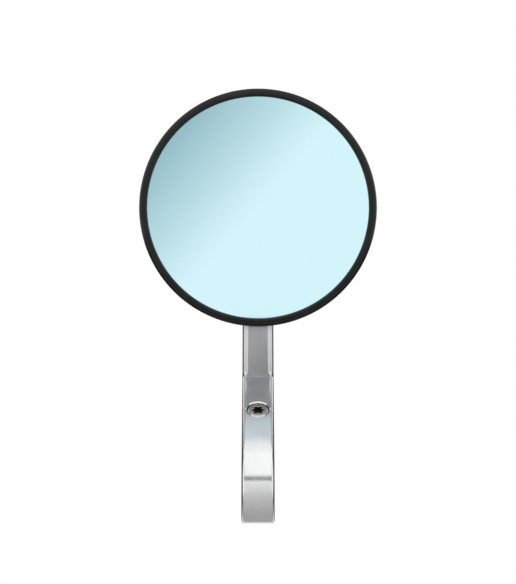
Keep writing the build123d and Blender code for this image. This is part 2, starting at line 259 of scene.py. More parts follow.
class Shape:
    """A closed shape under construction."""

    TURN_STEPS = 144
    CREASE = radians(22)

    def __init__(self, mesh: bmesh.types.BMesh) -> None:
        """Keeps the mesh that is worked on."""
        self.mesh = mesh

    @classmethod
    def prism(cls, outline: Outline, depth: float) -> "Shape":
        """Draws a closed outline out to both sides of its sheet.

        Args:
            outline: The closed outline.
            depth: The prism's whole depth.

        Returns:
            The prism.
        """
        mesh = outline.mesh
        half = outline.sheet.normal * depth / 2
        bmesh.ops.contextual_create(mesh, geom=mesh.edges[:])
        bmesh.ops.translate(mesh, verts=mesh.verts[:], vec=-half)
        drawn_out(mesh, mesh.faces[:], 2 * half)
        return cls(mesh).tidied()

    @classmethod
    def turned(cls, outline: Outline, steps: int = TURN_STEPS) -> "Shape":
        """Turns an outline about its sheet's upward axis, as on a lathe.

        Args:
            outline: A closed outline, or an open one that starts and ends on the axis.
            steps: How many flats go round.

        Returns:
            The turned shape.
        """
        mesh = outline.mesh
        bmesh.ops.spin(
            mesh,
            geom=mesh.verts[:] + mesh.edges[:],
            cent=outline.sheet.origin,
            axis=outline.sheet.up,
            angle=FULL_TURN,
            steps=steps,
            use_merge=True,
        )
        return cls(mesh).tidied()

    @classmethod
    def pin(cls, sheet: Sheet, radius: float, ends: Range, steps: int) -> "Shape":
        """Turns a plain round pin about a sheet's upward axis, from one end to the other."""
        start, end = ends
        return cls.turned(Outline(sheet, (0, start), (radius, start), (radius, end), (0, end)), steps)

    def tidied(self) -> "Shape":
        """Merges doubles, drops slivers and points every face outwards.

        Returns:
            The shape itself.
        """
        mesh = self.mesh
        bmesh.ops.remove_doubles(mesh, verts=mesh.verts[:], dist=MERGE)
        bmesh.ops.dissolve_degenerate(mesh, edges=mesh.edges[:], dist=MERGE)
        bmesh.ops.recalc_face_normals(mesh, faces=mesh.faces[:])
        return self

    def added(self, other: "Shape") -> None:
        """Takes in another shape that doesn't meet this one.

        Args:
            other: The other shape, which is used up.
        """
        store = bpy.data.meshes.new("shape")
        other.mesh.to_mesh(store)
        other.mesh.free()
        self.mesh.from_mesh(store)
        bpy.data.meshes.remove(store)

    def loose_object(self, name: str) -> bpy.types.Object:
        """Puts the mesh in a new object of the scene.

        Args:
            name: The object's name.

        Returns:
            The object.
        """
        data = bpy.data.meshes.new(name)
        self.mesh.to_mesh(data)
        self.mesh.free()
        return in_scene(name, data)

    def carved(self, tool: "Shape", action: Carving) -> "Shape":
        """Cuts, joins or trims the shape with another.

        Args:
            tool: The other shape, which is used up.
            action: What the other shape does.

        Returns:
            The carved shape.
        """
        body = self.loose_object("carved_body")
        cutter = tool.loose_object("carving_tool")
        step = body.modifiers.new("carving", "BOOLEAN")
        step.operation = action.value
        step.solver = "EXACT"
        step.object = cutter
        graph = bpy.context.evaluated_depsgraph_get()
        result = bpy.data.meshes.new_from_object(body.evaluated_get(graph))
        mesh = bmesh.new()
        mesh.from_mesh(result)
        spent = [result, body.data, cutter.data]
        bpy.data.objects.remove(body)
        bpy.data.objects.remove(cutter)
        for data in spent:
            bpy.data.meshes.remove(data)
        return Shape(mesh).tidied()

    def bevelled(self, reach: float, angles: Range, steps: int) -> "Shape":
        """Bevels every edge whose faces meet at an angle in a range.

        Args:
            reach: How far the bevel reaches into the two faces.
            angles: The least and the greatest angle between the faces' normals.
            steps: How many flats the bevel has.

        Returns:
            The shape itself.
        """
        least, most = angles
        edges = [edge for edge in self.mesh.edges if edge.is_manifold]
        chosen = [edge for edge in edges if least < edge.calc_face_angle() < most]
        bmesh.ops.bevel(
            self.mesh,
            geom=chosen,
            offset=reach,
            segments=steps,
            profile=0.5,
            affect="EDGES",
            material=-1,
        )
        return self.tidied()

    def piece(self, name: str, crease: float = CREASE) -> bpy.types.Object:
        """Finishes the shape as a shaded object.

        Args:
            name: The piece's name.
            crease: The least angle between two faces that still shows as an edge.

        Returns:
            The piece.
        """
        for face in self.mesh.faces:
            face.smooth = True
        for edge in self.mesh.edges:
            edge.smooth = edge.is_manifold and edge.calc_face_angle() < crease
        made = self.loose_object(name)
        shading = made.modifiers.new("even_shading", "WEIGHTED_NORMAL")
        shading.keep_sharp = True
        return made


class Signal:
    """An output socket of a recipe, with arithmetic on values."""

    def __init__(self, recipe: "Recipe", socket: bpy.types.NodeSocket) -> None:
        """Keeps the socket and the recipe that it belongs to."""
        self.recipe = recipe
        self.socket = socket

    def __add__(self, other: "Signal | float") -> "Signal":
        """Adds a value."""
        return self.recipe.math("ADD", self, other)

    def __radd__(self, other: float) -> "Signal":
        """Adds the signal to a number."""
        return self.recipe.math("ADD", other, self)

    def __sub__(self, other: "Signal | float") -> "Signal":
        """Takes a value away."""
        return self.recipe.math("SUBTRACT", self, other)

    def __rsub__(self, other: float) -> "Signal":
        """Takes the signal away from a number."""
        return self.recipe.math("SUBTRACT", other, self)

    def __mul__(self, other: "Signal | float") -> "Signal":
        """Multiplies by a value."""
        return self.recipe.math("MULTIPLY", self, other)

    def __rmul__(self, other: float) -> "Signal":
        """Multiplies a number by the signal."""
        return self.recipe.math("MULTIPLY", other, self)


class Recipe:
    """The nodes of one material or of the world."""

    # A Mix node has these sockets for colours.
    COLOUR_A = 6
    COLOUR_B = 7
    COLOUR_OUT = 2
    NOISE_MIDDLE = 0.5

    def __init__(self, owner: bpy.types.Material | bpy.types.World) -> None:
        """Starts with an empty tree.

        Args:
            owner: The material or the world that the nodes are for.
        """
        owner.use_nodes = True
        self.owner = owner
        self.tree = owner.node_tree
        self.tree.nodes.clear()

    def node(
        self,
        kind: str,
        settings: dict[str, object] | None = None,
        inputs: Sockets | None = None,
        output: str | int = 0,
    ) -> Signal:
        """Adds a node.

        Args:
            kind: The node's type.
            settings: The node's own settings, which are set first.
            inputs: Values or signals for its sockets.
            output: Which of its outputs is wanted.

        Returns:
            That output, or the node's first input if it has no output.
        """
        made = self.tree.nodes.new(kind)
        for name, value in (settings or {}).items():
            setattr(made, name, value)
        for key, value in (inputs or {}).items():
            if isinstance(value, Signal):
                self.tree.links.new(value.socket, made.inputs[key])
            else:
                made.inputs[key].default_value = value
        return Signal(self, made.outputs[output] if made.outputs else made.inputs[0])

    def math(self, operation: str, *terms: Signal | float) -> Signal:
        """Adds a Math node on values."""
        return self.node("ShaderNodeMath", {"operation": operation}, dict(enumerate(terms)))

    def mix(self, factor: Signal, first: Signal | Colour, second: Signal | Colour) -> Signal:
        """Blends two colours, by the share of the second."""
        inputs = {0: factor, self.COLOUR_A: first, self.COLOUR_B: second}
        return self.node("ShaderNodeMix", {"data_type": "RGBA"}, inputs, self.COLOUR_OUT)

    def blend(self, factor: Signal, first: Signal, second: Signal) -> Signal:
        """Blends two shaders, by the share of the second."""
        return self.node("ShaderNodeMixShader", None, {0: factor, 1: first, 2: second})

    def place(self, centre: Vector | Size = (0, 0, 0), lean: float = 0.0, unit: Size = (1, 1, 1)) -> Signal:
        """The point on the piece, in its own coordinates.

        Args:
            centre: The point of the frame that becomes the pattern's origin.
            lean: The angle about the handlebar's direction that the pattern is turned back by.
            unit: The pattern's unit along each turned axis.

        Returns:
            The point.
        """
        point = self.node("ShaderNodeTexCoord", output="Object")
        inputs = {"Vector": point, "Location": centre, "Rotation": (lean, 0, 0), "Scale": unit}
        return self.node("ShaderNodeMapping", {"vector_type": "TEXTURE"}, inputs)

    def reach(self, point: Signal) -> Signal:
        """How far a point lies from the pattern's origin."""
        return self.node("ShaderNodeVectorMath", {"operation": "LENGTH"}, {0: point}, "Value")

    def noise(self, size: Size, detail: float = 2.0, rough: float = 0.5) -> Signal:
        """Soft noise about its middle.

        Args:
            size: The size of its features along each axis, in millimetres.
            detail: How many finer layers it has.
            rough: How strong the finer layers are.

        Returns:
            The noise's value.
        """
        point = self.place(unit=Vector(size) * MM)
        inputs = {"Vector": point, "Scale": 1.0, "Detail": detail, "Roughness": rough}
        return self.node("ShaderNodeTexNoise", None, inputs)

    def about(self, base: float, *waves: tuple[float, Signal]) -> Signal:
        """A value that wavers about a base, by a spread for each noise."""
        return sum((spread * (noise - self.NOISE_MIDDLE) for spread, noise in waves), base)

    def step(self, value: Signal, start: float, end: float) -> Signal:
        """A smooth rise from 0 to 1, between two values."""
        inputs = {"Value": value, "From Min": start, "From Max": end}
        return self.node("ShaderNodeMapRange", {"interpolation_type": "SMOOTHSTEP"}, inputs)

    def bump(self, height: Signal, distance: float, strength: float) -> Signal:
        """Fine relief for a shader's normal: how high its full height is, and how much of it shows."""
        inputs = {"Height": height, "Distance": distance, "Strength": strength}
        return self.node("ShaderNodeBump", None, inputs)

    def finish(self, shader: Signal) -> None:
        """Links the finished shader to the owner's output."""
        kind = "World" if isinstance(self.owner, bpy.types.World) else "Material"
        self.node(f"ShaderNodeOutput{kind}", None, {"Surface": shader})


@dataclass(frozen=True)
class Finish(ABC):
    """A surface finish, which paints one material.

    In each finish, tone is the range of noise over which one colour turns into the other, relief is the
    height of the fine relief and how much of it shows, a sheen is how far a noise changes the roughness,
    and streak, grain, cloud and film are the sizes of noise along the three axes, in millimetres.
    """

    # A unit so long that a point's place along its axis counts for nothing.
    FLAT = 1e6

    slot: str

    @abstractmethod
    def surface(self, recipe: Recipe) -> Sockets:
        """Lays out the finish's nodes.

        Args:
            recipe: The recipe that takes the nodes.

        Returns:
            The values of the shader's sockets.
        """

    def material(self) -> bpy.types.Material:
        """Makes the finish's material.

        Returns:
            The material.
        """
        made = bpy.data.materials.new(self.slot)
        recipe = Recipe(made)
        recipe.finish(recipe.node("ShaderNodeBsdfPrincipled", None, self.surface(recipe)))
        return made


@dataclass(frozen=True)
class MachinedAluminium(Finish):
    """Bright aluminium with the fine satin that milling and tumbling leave."""

    bright: Colour = (0.95, 0.95, 0.955, 1)
    dull: Colour = (0.87, 0.872, 0.88, 1)
    tone: Range = (0.35, 0.65)
    roughness: float = 0.21
    relief_sheen: float = 0.1
    cloud_sheen: float = 0.06
    relief: Range = (0.004 * MM, 0.25)
    streak_share: float = 0.6
    streak: Size = (0.12, 0.12, 6)
    grain: Size = (0.07, 0.07, 0.07)
    cloud: Size = (5, 5, 9)

    def surface(self, recipe: Recipe) -> Sockets:
        """Lays out fine streaks along the arm, a tumbled grain and slow changes of sheen.

        Args:
            recipe: The recipe that takes the nodes.

        Returns:
            The values of the shader's sockets.
        """
        streaks = recipe.noise(self.streak, detail=3.0)
        grains = recipe.noise(self.grain)
        clouds = recipe.noise(self.cloud)
        relief = self.streak_share * streaks + (1 - self.streak_share) * grains
        tone = recipe.step(0.5 * streaks + 0.5 * clouds, *self.tone)
        sheens = ((self.relief_sheen, relief), (self.cloud_sheen, clouds))
        return {
            "Base Color": recipe.mix(tone, self.dull, self.bright),
            "Metallic": 1.0,
            "Roughness": recipe.about(self.roughness, *sheens),
            "Normal": recipe.bump(relief, *self.relief),
        }


@dataclass(frozen=True)
class BlackAnodised(Finish):
    """Satin black over aluminium, with a very fine even grain."""

    deep: Colour = (0.004, 0.004, 0.004, 1)
    worn: Colour = (0.009, 0.009, 0.009, 1)
    tone: Range = (0.35, 0.7)
    roughness: float = 0.33
    grain_sheen: float = 0.12
    cloud_sheen: float = 0.08
    specular: float = 0.3
    relief: Range = (0.012 * MM, 0.35)
    grain: Size = (0.11, 0.11, 0.11)
    cloud: Size = (7, 7, 7)

    def surface(self, recipe: Recipe) -> Sockets:
        """Lays out the grain and slow changes of depth.

        Args:
            recipe: The recipe that takes the nodes.

        Returns:
            The values of the shader's sockets.
        """
        grains = recipe.noise(self.grain, detail=3.0, rough=0.6)
        clouds = recipe.noise(self.cloud)
        sheens = ((self.grain_sheen, grains), (self.cloud_sheen, clouds))
        return {
            "Base Color": recipe.mix(recipe.step(clouds, *self.tone), self.deep, self.worn),
            "Roughness": recipe.about(self.roughness, *sheens),
            "Specular IOR Level": self.specular,
            "Normal": recipe.bump(grains, *self.relief),
        }


@dataclass(frozen=True)
class TintedMirror(Finish):
    """Pale blue glass, silvered behind, with a dark ground edge that is also painted shade under the
    bezel's lip.
    """

    tint: Colour = (0.655, 0.908, 0.968, 1)
    # Painted shade: the ground edge is darkened as if shaded by the bezel's lip, on top of its own darker
    # glass.
    edge: Colour = (0.03, 0.12, 0.15, 1)
    shaded_edge_range: Range = (37.05 * MM, 37.45 * MM)
    roughness: float = 0.02
    film_sheen: float = 0.02
    edge_sheen: float = 0.2
    film: Size = (18, 18, 18)

    def surface(self, recipe: Recipe) -> Sockets:
        """Lays out the tint, the painted shade along the ground edge and a trace of film on the glass.

        Args:
            recipe: The recipe that takes the nodes.

        Returns:
            The values of the shader's sockets.
        """
        reach = recipe.reach(recipe.place(BALL_CENTRE, unit=(1, self.FLAT, 1)))
        films = recipe.noise(self.film, detail=4.0)
        # The share of the painted edge shade, which also roughens the ground edge.
        rim = recipe.step(reach, *self.shaded_edge_range)
        return {
            "Base Color": recipe.mix(rim, self.tint, self.edge),
            "Metallic": 1.0,
            "Roughness": self.roughness + self.film_sheen * films + self.edge_sheen * rim,
        }


@dataclass(frozen=True)
class TurnedSteel(Finish):
    """Stainless steel with the fine rings that turning leaves about one axis."""

    light: Colour = (0.62, 0.60, 0.57, 1)
    dark: Colour = (0.40, 0.38, 0.36, 1)
    tone: Range = (0.2, 0.8)
    roughness: float = 0.24
    sheen: float = 0.14
    relief: Range = (0.006 * MM, 0.3)
    centre: Size = tuple(BALL_CENTRE)
    lean: float = -pi / 2
    ring: float = 0.16 * MM
    ring_rate: float = 0.3
    ring_waver: float = 2.0
    grain: Size = (0.3, 0.3, 0.3)

    def colour(self, recipe: Recipe, relief: Signal) -> Signal:
        """The steel's colour, which follows its relief."""
        return recipe.mix(recipe.step(relief, *self.tone), self.dark, self.light)

    def surface(self, recipe: Recipe) -> Sockets:
        """Lays out rings about the turning axis, broken up by a grain.

        Args:
            recipe: The recipe that takes the nodes.

        Returns:
            The values of the shader's sockets.
        """
        spot = recipe.place(self.centre, self.lean, (self.ring, self.ring, self.ring))
        settings = {"wave_type": "RINGS", "rings_direction": "Z", "wave_profile": "SIN"}
        inputs = {"Vector": spot, "Scale": self.ring_rate, "Distortion": self.ring_waver, "Detail": 2.0}
        rings = recipe.node("ShaderNodeTexWave", settings, inputs, "Fac")
        relief = 0.5 * rings + 0.5 * recipe.noise(self.grain, detail=3.0)
        return {
            "Base Color": self.colour(recipe, relief),
            "Metallic": 1.0,
            "Roughness": recipe.about(self.roughness, (self.sheen, relief)),
            "Normal": recipe.bump(relief, *self.relief),
        }


@dataclass(frozen=True)
class ShadedSocketSteel(TurnedSteel):
    """Turned steel with painted shade all through a socket, and a blotchy dark film round it."""

    # Painted shade: this colour darkens the socket's inside, where the recess lies in shade, and also the
    # blotchy film round it.
    shade_and_blotch: Colour = (0.2, 0.165, 0.13, 1)
    socket_radius: float = 0.0
    socket_floor: float = 0.0
    socket_rim: float = 0.0
    wall_blur: float = 0.05 * MM
    floor_blur: float = 0.2 * MM
    rim_blur: float = 0.3 * MM
    blotch_reach: float = 1.4 * MM
    blotch_share: float = 0.65
    blotch_range: Range = (0.3, 0.6)

    def shade_and_blotch_share(self, recipe: Recipe) -> Signal:
        """How far the painted socket shade and the dark film cover the steel.

        Args:
            recipe: The recipe that takes the nodes.

        Returns:
            The share of painted shade and dark film.
        """
        wall = self.socket_radius
        reach = recipe.reach(recipe.place(self.centre, self.lean, (1, 1, self.FLAT)))
        height = recipe.node("ShaderNodeSeparateXYZ", None, {0: recipe.place(self.centre, self.lean)}, "Z")
        # Painted shade: the whole inside of the socket, between its floor and its rim, is darkened.
        inside = 1.0 - recipe.step(reach, wall - self.wall_blur, wall + self.wall_blur)
        below = 1.0 - recipe.step(height, self.socket_rim - self.rim_blur, self.socket_rim)
        above = recipe.step(height, self.socket_floor - self.floor_blur, self.socket_floor)
        # A blotchy dark film round the socket: darker near its wall and broken up by noise.
        near = 1.0 - recipe.step(reach, wall, wall + self.blotch_reach)
        blotch = near * recipe.step(recipe.noise(self.grain), *self.blotch_range)
        return recipe.math("MAXIMUM", inside * below * above, self.blotch_share * blotch)

    def colour(self, recipe: Recipe, relief: Signal) -> Signal:
        """The steel's colour under the painted socket shade and the dark film."""
        return recipe.mix(self.shade_and_blotch_share(recipe), super().colour(recipe, relief), self.shade_and_blotch)


@dataclass(frozen=True)
class NaturalNylon(Finish):
    """Milky moulded nylon."""

    milk: Colour = (0.80, 0.78, 0.71, 1)
    shade: Colour = (0.66, 0.63, 0.55, 1)
    tone: Range = (0.3, 0.7)
    roughness: float = 0.42
    grain_sheen: float = 0.2
    relief: Range = (0.01 * MM, 0.3)
    cloud: Size = (2.5, 2.5, 2.5)
    grain: Size = (0.2, 0.2, 0.2)

    def surface(self, recipe: Recipe) -> Sockets:
        """Lays out cloudy flow marks and a fine moulded grain.

        Args:
            recipe: The recipe that takes the nodes.

        Returns:
            The values of the shader's sockets.
        """
        clouds = recipe.noise(self.cloud, detail=3.0)
        grains = recipe.noise(self.grain)
        return {
            "Base Color": recipe.mix(recipe.step(clouds, *self.tone), self.milk, self.shade),
            "Roughness": recipe.about(self.roughness, (self.grain_sheen, grains)),
            "Normal": recipe.bump(grains, *self.relief),
        }


@dataclass(frozen=True)
class GasketRubber(Finish):
    """Matt black rubber with a dusty bloom."""

    black: Colour = (0.012, 0.012, 0.012, 1)
    bloom: Colour = (0.045, 0.045, 0.043, 1)
    tone: Range = (0.4, 0.75)
    roughness: float = 0.7
    cloud_sheen: float = 0.3
    relief: Range = (0.03 * MM, 0.4)
    cloud: Size = (1.5, 1.5, 1.5)

    def surface(self, recipe: Recipe) -> Sockets:
        """Lays out the bloom and a coarse soft grain.

        Args:
            recipe: The recipe that takes the nodes.

        Returns:
            The values of the shader's sockets.
        """
        clouds = recipe.noise(self.cloud, detail=5.0, rough=0.65)
        return {
            "Base Color": recipe.mix(recipe.step(clouds, *self.tone), self.black, self.bloom),
            "Roughness": recipe.about(self.roughness, (self.cloud_sheen, clouds)),
            "Normal": recipe.bump(clouds, *self.relief),
        }


class SubAssembly(ABC):
    """A group of pieces that is built and then dressed."""

    body: str

    @abstractmethod
    def build(self) -> None:
        """Models the pieces."""

    @abstractmethod
    def dress(self) -> None:
        """Gives the pieces their finishes."""

    def settle(self, piece: bpy.types.Object, node: str, slot: str) -> bpy.types.Object:
        """Puts a new piece in a node's place.

        Args:
            piece: The new piece.
            node: The node that it stands for.
            slot: The record's slot that its finish comes from; not used.

        Returns:
            The piece.
        """
        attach(piece, self.body)
        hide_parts(node)
        log.info("%s stands for %s on %s, %d faces", piece.name, node, self.body, len(piece.data.polygons))
        return piece

    @staticmethod
    def coat(piece: bpy.types.Object, finish: Finish) -> None:
        """Covers a piece all over with one finish."""
        piece.data.materials.append(finish.material())


@dataclass
class ClampArm(SubAssembly):
    """The arm: a slit ring on the handlebar, the tilted screw face, the lug, the stem and its eye.

    The spare is how far cutting tools reach past the arm.
    """

    body: str = "arm"
    bar_radius: float = 11.1 * MM
    bore_chamfer: float = 0.5 * MM
    ring_radius: float = 15.1 * MM
    ring_width: float = 11.2 * MM
    edge_round: float = 1.4 * MM
    edge_angles: Range = (radians(70), radians(110))
    edge_steps: int = 10
    crease: float = radians(12)
    tilt: float = radians(53)
    pinch_offset: float = 19.0 * MM
    pinch_radius: float = 2.0 * MM
    pinch_clearance: float = 0.25 * MM
    counterbore_radius: float = 3.95 * MM
    counterbore_depth: float = 4.5 * MM
    counterbore_mouth: float = 0.4 * MM
    counterbore_steps: int = 96
    slit_width: float = 2.0 * MM
    lug_wall: float = 2.6 * MM
    lug_depth: float = 9.5 * MM
    lug_corner: float = 3.0 * MM
    lug_blend: float = 2.5 * MM
    lug_back_blend: float = 3.0 * MM
    bar_thickness: float = 8.0 * MM
    bend_round: float = 8.0 * MM
    stem_front: float = 20.7 * MM
    stem_width: float = 10.3 * MM
    stem_thickness: float = 7.0 * MM
    stem_blend: float = 0.15 * MM
    stem_bevel: float = 2.0 * MM
    stem_bevel_lean: float = radians(13)
    stem_bevel_runout: float = 1.2 * MM
    stem_bevel_start: float = 0.2 * MM
    eye_radius: float = 7.0 * MM
    eye_blend: float = 8.0 * MM
    eye_hole: float = 2.6 * MM
    eye_steps: int = 64
    spare: float = 12.0 * MM

    def __post_init__(self) -> None:
        """Works out the places that several cuts share."""
        self.head_rise = BALL_CENTRE.z
        self.side = Sheet(Vector(), AWAY, UP)
        self.pinch_axis = Vector((0, -cos(self.tilt), sin(self.tilt)))
        self.slit_way = Vector((0, sin(self.tilt), cos(self.tilt)))
        self.stem_back = self.stem_front + self.stem_thickness
        self.bend_front = self.bend(self.stem_front, self.ring_radius)
        self.stem_start = self.bend_front[1] + self.stem_blend * tan(self.tilt / 2)
        self.pinch_face = self.pinch_axis * self.ring_radius + self.slit_way * self.pinch_offset
        self.lug_end = self.pinch_offset + self.pinch_radius + self.lug_wall
        neck_x = self.half_width(self.head_rise) + self.eye_blend
        neck_drop = sqrt((self.eye_radius + self.eye_blend) ** 2 - neck_x**2)
        self.neck = (neck_x, self.head_rise - neck_drop)
        self.neck_turn = atan2(neck_drop, neck_x)

    def clamp_place(self, u: float, v: float) -> Place:
        """The side sheet's place for a point along (u) and across (v) the slit."""
        return (u * sin(self.tilt) - v * cos(self.tilt), u * cos(self.tilt) + v * sin(self.tilt))

    def bend(self, y: float, v: float) -> Place:
        """The side sheet's place where an upright at y meets a line along the slit at v."""
        return (y, (v + y * cos(self.tilt)) / sin(self.tilt))

    def half_width(self, z: float) -> float:
        """Half of the arm's width at height z: it narrows evenly from ring to eye."""
        return (self.ring_width + (self.stem_width - self.ring_width) * z / self.head_rise) / 2

    def side_blank(self) -> Shape:
        """Draws the arm's side view: ring, tilted bar, stem and lug.

        Returns:
            A thick plate of that outline.
        """
        stem_top = self.head_rise + 2 * self.eye_radius
        underside = self.ring_radius - self.bar_thickness
        bend_back = self.bend(self.stem_back, underside)
        lug_top = self.clamp_place(self.lug_end, underside)
        lug_corner = self.clamp_place(self.lug_end, -self.lug_depth)
        root_v = self.lug_depth + self.lug_blend
        root_reach = self.ring_radius + self.lug_blend
        root_u = sqrt(root_reach**2 - root_v**2)
        lug_root = self.clamp_place(root_u, -self.lug_depth)
        outline = Outline(self.side, self.clamp_place(0, self.ring_radius))
        outline.line(self.bend_front, (self.stem_front, stem_top), (self.stem_back, stem_top))
        outline.line(bend_back, lug_top, lug_corner, lug_root)
        outline.arc(self.clamp_place(root_u, -root_v), acos(root_v / root_reach))
        outline.arc((0, 0), asin(root_v / root_reach) - 1.5 * pi)
        outline.close().round(self.lug_back_blend, lug_top)
        outline.round(self.stem_blend, self.bend_front)
        outline.round(self.bend_round, bend_back)
        outline.round(self.lug_corner, lug_corner)
        return Shape.prism(outline, 2 * self.ring_width)

    def front_blank(self) -> Shape:
        """Draws the arm's front view: tapered sides that flare into the round eye.

        Returns:
            A block of that outline, deeper than the arm.
        """
        foot = -2 * self.ring_radius
        neck_x, neck_z = self.neck
        foot_x = self.half_width(foot)
        stem_x = self.half_width(self.head_rise)
        outline = Outline(upright(0, 0, 0), (-foot_x, foot), (foot_x, foot), (stem_x, neck_z))
        outline.arc((neck_x, neck_z), -self.neck_turn)
        outline.arc((0, self.head_rise), pi + 2 * self.neck_turn)
        outline.arc((-neck_x, neck_z), -self.neck_turn)
        outline.close()
        return Shape.prism(outline, 2 * (self.ring_radius + self.stem_back))

    def stem_wedges(self) -> Shape:
        """Draws the four long wedges that bevel the stem's edges and run out at both ends.

        Returns:
            The wedges.
        """
        run = self.neck[1] - self.eye_blend / 2 - self.stem_start
        lean = self.stem_bevel_lean
        shallow = self.stem_bevel_start
        deep = self.stem_bevel * sin(lean)
        wedges = Shape(bmesh.new())
        for side in (-1, 1):
            foot = Vector((side * self.half_width(self.stem_start), 0, self.stem_start))
            head = Vector((side * self.half_width(self.stem_start + run), 0, self.stem_start + run))
            along = (head - foot).normalized()
            for face, inward in ((self.stem_front, 1), (self.stem_back, -1)):
                outward = Vector((side * sin(lean), -inward * cos(lean), 0))
                outline = Outline(
                    Sheet(foot + AWAY * face, along, outward),
                    (0, -shallow),
                    (self.stem_bevel_runout, -deep),
                    (run - self.stem_bevel_runout, -deep),
                    (run, -shallow),
                    (run, self.stem_bevel),
                    (0, self.stem_bevel),
                )
                wedges.added(Shape.prism(outline.close(), 4 * self.stem_bevel))
        return wedges

    def bore_tool(self) -> Shape:
        """Turns the handlebar's bore with its chamfered mouths.

        Returns:
            The tool that cuts it.
        """
        mouth = self.ring_width / 2 + self.bore_chamfer
        wall = self.ring_width / 2 - self.bore_chamfer
        wide = self.bar_radius + 2 * self.bore_chamfer
        outline = Outline(Sheet(Vector(), AWAY, ALONG_BAR), (0, -mouth), (wide, -mouth))
        outline.line((self.bar_radius, -wall), (self.bar_radius, wall), (wide, mouth), (0, mouth))
        return Shape.turned(outline)

    def slit_tool(self) -> Shape:
        """Draws the slit from the bore out through the lug.

        Returns:
            The tool that cuts it.
        """
        end = self.lug_end + self.spare
        half = self.slit_width / 2
        sheet = Sheet(Vector(), self.slit_way, self.pinch_axis)
        outline = Outline(sheet, (0, -half), (end, -half), (end, half), (0, half))
        return Shape.prism(outline.close(), 2 * self.ring_width)

    def screw_tool(self) -> Shape:
        """Turns the counterbore and the hole for the pinch screw.

        Returns:
            The tool that cuts them.
        """
        hole = self.pinch_radius + self.pinch_clearance
        mouth = self.counterbore_mouth
        end = self.ring_radius + self.lug_depth + self.spare
        outline = Outline(
            Sheet(self.pinch_face, ALONG_BAR, self.pinch_axis),
            (0, mouth),
            (self.counterbore_radius + 2 * mouth, mouth),
            (self.counterbore_radius, -mouth),
            (self.counterbore_radius, -self.counterbore_depth),
            (hole, -self.counterbore_depth),
            (hole, -self.ring_radius),
            (self.pinch_radius, -self.ring_radius),
            (self.pinch_radius, -end),
            (0, -end),
        )
        return Shape.turned(outline, self.counterbore_steps)

    def build(self) -> None:
        """Models the arm as one machined piece."""
        blank = self.side_blank().carved(self.front_blank(), Carving.KEEP)
        blank.bevelled(self.edge_round, self.edge_angles, self.edge_steps)
        eye_tool = Shape.pin(BALL_AXIS, self.eye_hole, (0, self.stem_back + self.spare), self.eye_steps)
        tools = (self.stem_wedges(), self.bore_tool(), self.slit_tool(), self.screw_tool(), eye_tool)
        for tool in tools:
            blank = blank.carved(tool, Carving.CUT)
        self.arm = self.settle(blank.piece("arm_with_ring", self.crease), "clamp_arm", "machined_aluminium")

    def dress(self) -> None:
        """Gives the arm its satin aluminium."""
        self.coat(self.arm, MachinedAluminium("machined_aluminium"))


